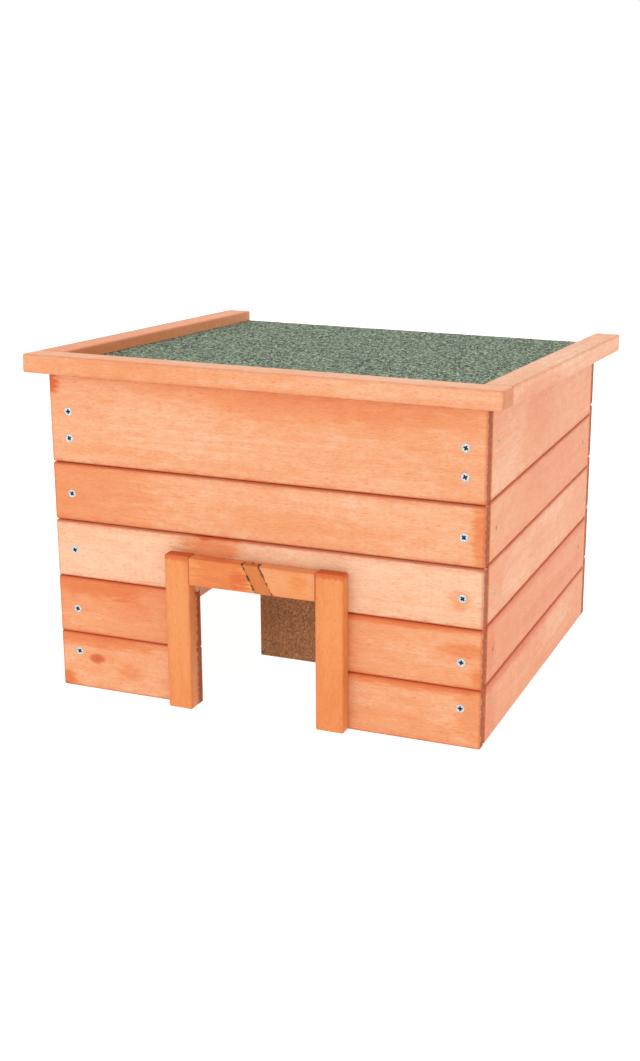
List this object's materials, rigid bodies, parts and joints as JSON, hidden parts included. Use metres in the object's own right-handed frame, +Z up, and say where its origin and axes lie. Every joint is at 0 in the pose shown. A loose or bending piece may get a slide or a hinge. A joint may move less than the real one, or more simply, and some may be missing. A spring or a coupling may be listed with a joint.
{
  "type": "small animal house",
  "caption": "Boarded wooden small-animal house with a framed doorway, an inner partition and a hinged lean-to roof covered with green mineral felt.",
  "frame": {"origin": "middle of the footprint's box, on the ground the house stands on", "axes": "+Z up, -Y towards the side with the doorway, +X to the right when looking at the doorway"},
  "size_m": [0.432, 0.42, 0.3108],
  "materials": {
    "wall_boards": "orange wood stain, satin, knots and fine grain",
    "door_frame": "deeper orange wood stain, satin",
    "patch_wood": "glued-in repair piece, stained, dark joint lines",
    "roof_rims": "orange wood stain, paler on top",
    "bare_wood": "planed softwood",
    "particle_board": "speckled flakes, matt",
    "roofing_felt": "bitumen felt with green mineral granules",
    "zinc": "zinc plated, slightly dulled"
  },
  "bodies": {
    "house": {"left_board_bottom": "wall_boards", "left_board_lower": "wall_boards", "left_board_middle": "wall_boards", "left_board_upper": "wall_boards", "left_board_top": "wall_boards", "right_board_bottom": "wall_boards", "right_board_lower": "wall_boards", "right_board_middle": "wall_boards", "right_board_upper": "wall_boards", "right_board_top": "wall_boards", "rear_board_bottom": "wall_boards", "rear_board_lower": "wall_boards", "rear_board_middle": "wall_boards", "rear_board_upper": "wall_boards", "rear_board_top": "wall_boards", "front_board_bottom_left": "wall_boards", "front_board_bottom_right": "wall_boards", "front_board_lower_left": "wall_boards", "front_board_lower_right": "wall_boards", "front_board_middle": "wall_boards", "front_board_upper": "wall_boards", "front_board_top": "wall_boards", "corner_post_front_left": "bare_wood", "corner_post_front_right": "bare_wood", "corner_post_rear_left": "bare_wood", "corner_post_rear_right": "bare_wood", "door_post_left": "door_frame", "door_post_right": "door_frame", "door_lintel": "door_frame", "lintel_patch": "patch_wood", "partition_panel": "particle_board", "partition_cleat": "bare_wood", "front_wall_screws": "zinc", "rear_wall_screws": "zinc", "left_wall_nails": "zinc", "right_wall_nails": "zinc", "door_frame_nails": "zinc", "partition_nails": "zinc", "hinge_left_wall_leaf": "zinc", "hinge_right_wall_leaf": "zinc", "hinge_left_pin": "zinc", "hinge_right_pin": "zinc", "hinge_wall_screws": "zinc"},
    "roof": {"roof_panel": "bare_wood", "roof_felt": "roofing_felt", "roof_rim_front": "roof_rims", "roof_rim_left": "roof_rims", "roof_rim_right": "roof_rims", "roof_hinge_batten": "bare_wood", "roof_cross_batten": "bare_wood", "roof_batten_screws": "zinc", "roof_panel_nails": "zinc", "roof_felt_nails": "zinc", "hinge_left_roof_leaf": "zinc", "hinge_right_roof_leaf": "zinc", "hinge_roof_screws": "zinc"}
  },
  "joints": [
    {"name": "roof_hinge", "type": "hinge", "parent": "house", "child": "roof", "pos_m": [0, 0.1753, 0.2555], "axis": [-1, 0, 0], "range_deg": [0, 95]}
  ]
}
